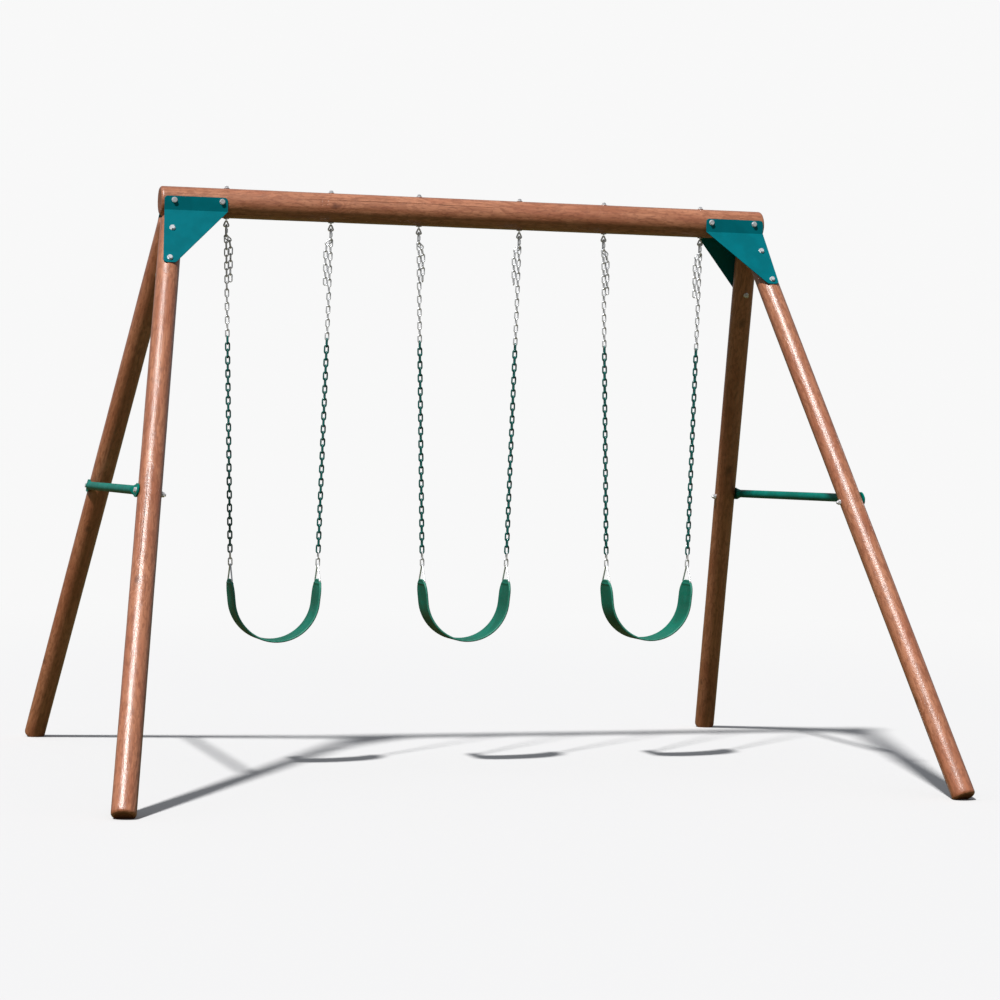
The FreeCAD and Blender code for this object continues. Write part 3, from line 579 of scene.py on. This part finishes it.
class Belt:
    """A belt seat as an empty one hangs: an arc, two straight sides and rounded tips."""

    RADIUS = 0.165
    WRAP = math.radians(84)
    SIDE = 0.075
    TIP = 0.017
    HALF_THICKNESS = 0.004
    CORNER = 0.057
    ROUNDING = 0.0036        # how far in from the outline the edge is rounded
    RING_REACH = 0.053       # half the length of the ring's base bar
    WELT = 0.0021            # how high the belt swells over that bar
    WELT_FADE = 0.006        # how far in from the outline the welt reaches its height
    DENT = 0.0010
    DENT_FADE = 0.02
    # how far in from the outline the painted pale rim, highlight and wear, reaches
    PALE_EDGE_REACH = 0.0045
    BODY_STEPS = 90
    TIP_STEPS = 30
    ACROSS = 40

    def __init__(self, swing):
        low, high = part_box(swing + "_belt")
        self.swing = swing
        self.middle = (low + high) / 2
        self.bottom = low.z + self.HALF_THICKNESS
        self.half_width = (high.y - low.y) / 2
        self.half_arc = self.RADIUS * self.WRAP
        self.half_length = self.half_arc + self.SIDE + self.TIP

    def centre_line(self, travel):
        """Place and upward normal of the belt's middle surface, travel metres from its lowest point."""
        side = math.copysign(1, travel)
        turn = min(abs(travel), self.half_arc) / self.RADIUS
        straight = max(0.0, abs(travel) - self.half_arc)
        across = self.RADIUS * math.sin(turn) + straight * math.cos(turn)
        rise = self.RADIUS * (1 - math.cos(turn)) + straight * math.sin(turn)
        spot = Vector((self.middle.x + side * across, self.middle.y, self.bottom + rise))
        return spot, Vector((-side * math.sin(turn), 0, math.cos(turn)))

    def half_width_at(self, travel):
        """The outline: straight edges, then tips that are nearly half round."""
        into_tip = abs(travel) - (self.half_length - self.CORNER)
        if into_tip <= 0:
            return self.half_width
        return self.half_width - self.CORNER + math.sqrt(max(0.0, self.CORNER ** 2 - into_tip ** 2))

    def depth_inside(self, travel, width):
        """Distance in from the outline."""
        past_side = abs(width) - (self.half_width - self.CORNER)
        past_tip = abs(travel) - (self.half_length - self.CORNER)
        corner = math.hypot(max(0.0, past_side), max(0.0, past_tip))
        return self.CORNER - corner - min(0.0, max(past_side, past_tip))

    def half_thickness(self, depth):
        share = min(1.0, max(0.0, depth / self.ROUNDING))
        return self.HALF_THICKNESS * (1 - (1 - share) ** 2.6) ** (1 / 2.6)

    def welt(self, travel, width):
        """The swelling over the ring's base bar, which is moulded into the tip."""
        beside = abs(travel) - (self.half_length - self.TIP)
        end = max(0.0, abs(width) - (self.RING_REACH - 0.008))
        return self.WELT * math.exp(-(beside / 0.0042) ** 2 - (end / 0.005) ** 2)

    def dent(self, travel, width):
        """Where sitting on it has pressed the top face down a little."""
        return self.DENT * noise.noise(Vector((travel * 9, width * 12, self.middle.x * 7)))

    def spread(self, count):
        """count + 1 shares from -1 to 1, closer together toward both ends."""
        even = [2 * index / count - 1 for index in range(count + 1)]
        return [(math.sin(math.pi / 2 * share) + share) / 2 for share in even]

    def stations(self):
        """Travels along the belt, close together over the tips."""
        body = self.half_length - self.CORNER
        middle = list(np.linspace(-body, body, self.BODY_STEPS))
        turns = [math.pi / 2 * (step / self.TIP_STEPS) ** 0.8 for step in range(1, self.TIP_STEPS + 1)]
        tip = [body + self.CORNER * math.sin(turn) for turn in turns]
        return [-travel for travel in reversed(tip)] + middle + tip

    def build(self):
        travels = self.stations()
        shares = self.spread(self.ACROSS)
        columns = len(shares)
        spots = []
        edges = []
        for face in (1, -1):
            for travel in travels:
                place, up = self.centre_line(travel)
                reach = self.half_width_at(travel)
                for share in shares:
                    width = share * reach
                    depth = self.depth_inside(travel, width)
                    welt = self.welt(travel, width) * min(1, depth / self.WELT_FADE)
                    height = face * (self.half_thickness(depth) + welt)
                    if face > 0:
                        height += min(0.0, self.dent(travel, width) * min(1.0, depth / self.DENT_FADE))
                    spots.append(place + Vector((0, width, 0)) + up * height)
                    # how near the outline: the rubber material paints its pale rim, part highlight and
                    # part wear, from this
                    edges.append(max(0.0, 1 - depth / self.PALE_EDGE_REACH))
        faces = []
        rows = len(travels)
        for layer in (0, 1):
            first = layer * rows * columns
            for row in range(rows - 1):
                for column in range(columns - 1):
                    corner = first + row * columns + column
                    quad = (corner, corner + 1, corner + columns + 1, corner + columns)
                    faces.append(quad if layer else quad[::-1])
        mesh = bpy.data.meshes.new(self.swing + "_seat_belt")
        mesh.from_pydata(spots, [], faces)
        mesh.attributes.new("edge", "FLOAT", "POINT").data.foreach_set("value", edges)
        face_outward(mesh, merge=0.00002)
        set_smooth(mesh)
        mesh.materials.append(MATERIALS["belt_rubber"])
        piece = add_object(mesh.name, mesh)
        finish_piece(piece, self.swing + "_seat", self.swing + "_belt")


# ---------------------------------------------------------------- chains

def find_solids(node):
    """Middle, axes (long, wide, thin) and sizes of every separate solid in a CAD node."""
    mesh = node.data
    points = np.empty(len(mesh.vertices) * 3)
    mesh.vertices.foreach_get("co", points)
    points = points.reshape(-1, 3)
    pairs = np.empty(len(mesh.edges) * 2, dtype=np.int64)
    mesh.edges.foreach_get("vertices", pairs)
    pairs = pairs.reshape(-1, 2)
    spots, weld = np.unique(np.round(points, 6), axis=0, return_inverse=True)
    weld = weld.reshape(-1)
    first = weld[pairs[:, 0]]
    second = weld[pairs[:, 1]]
    group = np.arange(len(spots))
    while not (group[first] == group[second]).all():
        lowest = np.minimum(group[first], group[second])
        np.minimum.at(group, first, lowest)
        np.minimum.at(group, second, lowest)
        group = group[group]
    turn = np.array(node.matrix_world.to_3x3())
    offset = np.array(node.matrix_world.translation)
    solids = []
    for label in np.unique(group):
        cloud = spots[group == label] @ turn.T + offset
        spread = np.cov((cloud - cloud.mean(axis=0)).T)
        axes = np.linalg.eigh(spread)[1].T[::-1]
        along = cloud @ axes.T
        low = along.min(axis=0)
        high = along.max(axis=0)
        solids.append(((low + high) / 2 @ axes, axes, high - low))
    return solids


# points along each straight leg of a link, as shares of its length from its middle
LEG_SHARES = (-0.36, -0.2, -0.08, 0.0, 0.08, 0.2, 0.36)
BEND_STEPS = 8
WIRE_SIDES = 12
WELD_BEAD = 0.00022
COATING_SETTLE = 0.06        # how much thinner the dip is at its thinnest


def link_path(straight, half):
    """(along, across, turn of the outward normal) round a link's centre line."""
    path = []
    for side in (1, -1):
        path += [(side * share * straight, side * half, side * math.pi / 2) for share in LEG_SHARES]
        for step in range(BEND_STEPS + 1):
            turn = side * math.pi / 2 - math.pi * step / BEND_STEPS
            path.append((side * straight / 2 + half * math.cos(turn), half * math.sin(turn), turn))
    return path


def link_shape(sizes, weld_bead):
    """Points and faces of one link, in its own axes."""
    length, width, wire = sizes
    sides = WIRE_SIDES
    path = link_path(length - width, (width - wire) / 2)
    points = []
    for index, (along, across, turn) in enumerate(path):
        # the bead lies on the first leg, and swells inward, so that the link grows no wider
        bead = weld_bead * math.exp(-(along / 0.0018) ** 2) if index < len(LEG_SHARES) else 0.0
        radius = wire / 2 + bead
        for side in range(sides):
            angle = 2 * math.pi * (side + 0.5) / sides
            outward = radius * math.cos(angle) - bead
            points.append((along + outward * math.cos(turn), across + outward * math.sin(turn),
                           (radius - bead * 0.6) * math.sin(angle)))
    faces = []
    for index in range(len(path)):
        after = (index + 1) % len(path)
        for side in range(sides):
            beside = (side + 1) % sides
            faces.append((index * sides + side, index * sides + beside,
                          after * sides + beside, after * sides + side))
    return np.array(points), faces


def make_chain(node_name, body, slot):
    """New round links in the places of a CAD node's links."""
    solids = find_solids(NODES[node_name])
    dipped = slot == "chain_coating"
    picker = random.Random(node_name)
    spots = []
    faces = []
    for middle, axes, sizes in solids:
        # the links were threaded either way round
        if picker.random() < 0.5:
            axes = np.array((-axes[0], axes[1], axes[2]))
        points, shape = link_shape(sizes, 0.0 if dipped else WELD_BEAD)
        placed = points @ axes + middle
        if dipped:
            placed = settle_coating(placed, points, axes, sizes)
        first = len(spots)
        spots.extend(map(tuple, placed))
        faces.extend(tuple(first + corner for corner in face) for face in shape)
    mesh = bpy.data.meshes.new(node_name + "_links")
    mesh.from_pydata(spots, [], faces)
    face_outward(mesh)
    set_smooth(mesh)
    mesh.materials.append(MATERIALS[slot])
    finish_piece(add_object(mesh.name, mesh), body, node_name)


def settle_coating(placed, points, axes, sizes):
    """The dip is a little thicker in some places than in others."""
    length, width, wire = sizes
    half = (width - wire) / 2
    straight = length - width
    settled = []
    for spot, local in zip(placed, points):
        along = min(max(local[0], -straight / 2), straight / 2)
        from_end = np.array((local[0] - along, local[1], 0.0))
        if abs(local[0]) <= straight / 2:
            core = np.array((local[0], math.copysign(half, local[1]), 0.0))
        else:
            core = np.array((along, 0.0, 0.0)) + from_end / np.linalg.norm(from_end) * half
        thin = COATING_SETTLE * (0.5 + 0.5 * noise.noise(Vector(spot) * 210.0))
        settled.append(spot - (local - core) @ axes * thin)
    return settled


def make_swings():
    for swing in SWINGS:
        Belt(swing).build()
        for side, _ in SIDES:
            chain = swing + "_chain_" + side
            make_chain(chain + "_bare", swing + "_swing", "zinc_hardware")
            make_chain(chain + "_coated", swing + "_swing", "chain_coating")
            make_chain(swing + "_tail_" + side, swing + "_tail_" + side + "_chain", "zinc_hardware")


# ---------------------------------------------------------------- fittings

BEVELS = {"bracket": 0.0007, "bolts": 0.0005, "nuts": 0.0005, "washers": 0.0003}


def soften_fittings():
    """Worn edges on the CAD plates, bolts, nuts and washers.

    The eye bolts are bent rods, with no sharp edges to soften.
    """
    for name, node in NODES.items():
        for word, width in BEVELS.items():
            if word in name and not name.startswith("eye_bolts"):
                add_bevel(node, width)


# ---------------------------------------------------------------- stage

BACKDROP = (0.94, 0.94, 0.94, 1.0)
SKY = (0.24, 0.25, 0.27, 1.0)
PALE_FLOOR = (0.70, 0.70, 0.70, 1.0)
FLOOR_BOUNCE = (0.10, 0.09, 0.035, 1.0)
FLOOR_REACH = 60.0
KEY_ENERGY = 4.1
KEY_SOFTNESS = math.radians(4)
KEY_HEIGHT = math.radians(55)
KEY_TURN = math.radians(-43)
CAMERA_PLACE = (-2.785, -10.0624, 1.1957)
CAMERA_YAW = math.radians(16.223)
CAMERA_PITCH = math.radians(-0.799)
CAMERA_ROLL = math.radians(0.866)
CAMERA_LENS = 95.34


def make_floor():
    """A pale floor that fades into the backdrop's own colour far from the swing set.

    It looks pale, but lights the undersides only with a dim and warm bounce.
    """
    corners = [(x * FLOOR_REACH, y * FLOOR_REACH, 0) for x, y in ((-1, -1), (1, -1), (1, 1), (-1, 1))]
    mesh = bpy.data.meshes.new("floor")
    mesh.from_pydata(corners, [], [(0, 1, 2, 3)])
    floor = add_object("floor", mesh)
    g = Graph("floor")
    distance = g.node("VectorMath", {0: g.place()}, operation="LENGTH").outputs["Value"]
    fade = g.between(distance, 3.5, 11.0)
    seen = g.node("LightPath").outputs["Is Camera Ray"]
    near = g.node("BsdfDiffuse", {"Color": g.mix(seen, FLOOR_BOUNCE, PALE_FLOOR)}).outputs[0]
    far = g.node("Emission", {"Color": g.mix(seen, FLOOR_BOUNCE, BACKDROP), "Strength": 1.0}).outputs[0]
    blend = g.node("MixShader", {0: fade, 1: near, 2: far})
    output = g.node("OutputMaterial")
    g.tree.links.new(blend.outputs[0], output.inputs[0])
    floor.data.materials.append(g.material)


def make_world():
    """A plain white backdrop, with a dimmer sky for what lights the object."""
    world = bpy.data.worlds.new("studio")
    world.use_nodes = True
    tree = world.node_tree
    tree.nodes.clear()
    seen = tree.nodes.new("ShaderNodeBackground")
    seen.inputs["Color"].default_value = BACKDROP
    sky = tree.nodes.new("ShaderNodeBackground")
    sky.inputs["Color"].default_value = SKY
    rays = tree.nodes.new("ShaderNodeLightPath")
    blend = tree.nodes.new("ShaderNodeMixShader")
    output = tree.nodes.new("ShaderNodeOutputWorld")
    tree.links.new(rays.outputs["Is Camera Ray"], blend.inputs[0])
    tree.links.new(sky.outputs[0], blend.inputs[1])
    tree.links.new(seen.outputs[0], blend.inputs[2])
    tree.links.new(blend.outputs[0], output.inputs[0])
    bpy.context.scene.world = world


def make_key_light():
    """One high light from the front left, wide enough for soft-edged shadows."""
    key = bpy.data.lights.new("key", "SUN")
    key.energy = KEY_ENERGY
    key.angle = KEY_SOFTNESS
    key.color = (1.0, 0.99, 0.98)
    lamp = bpy.data.objects.new("key", key)
    bpy.context.scene.collection.objects.link(lamp)
    level = math.cos(KEY_HEIGHT)
    toward_key = Vector((math.sin(KEY_TURN) * level, -math.cos(KEY_TURN) * level, math.sin(KEY_HEIGHT)))
    lamp.rotation_mode = "QUATERNION"
    lamp.rotation_quaternion = toward_key.to_track_quat("Z", "Y")


def make_camera():
    """The viewing angle: in front and to the left, at chest height, with a long lens."""
    camera = bpy.data.cameras.new("camera")
    camera.sensor_width = 36.0
    camera.lens = CAMERA_LENS
    holder = bpy.data.objects.new("camera", camera)
    bpy.context.scene.collection.objects.link(holder)
    level = math.cos(CAMERA_PITCH)
    forward = Vector((math.sin(CAMERA_YAW) * level, math.cos(CAMERA_YAW) * level, math.sin(CAMERA_PITCH)))
    level_right = Vector((math.cos(CAMERA_YAW), -math.sin(CAMERA_YAW), 0.0))
    level_up = level_right.cross(forward)
    right = math.cos(CAMERA_ROLL) * level_right + math.sin(CAMERA_ROLL) * level_up
    up = math.cos(CAMERA_ROLL) * level_up - math.sin(CAMERA_ROLL) * level_right
    axes = Matrix((right, up, -forward)).transposed().to_4x4()
    holder.matrix_world = Matrix.Translation(CAMERA_PLACE) @ axes
    bpy.context.scene.camera = holder


dress_cad_nodes()
make_logs()
make_swings()
soften_fittings()
make_floor()
make_world()
make_key_light()
make_camera()
bpy.context.scene.view_settings.view_transform = "Standard"
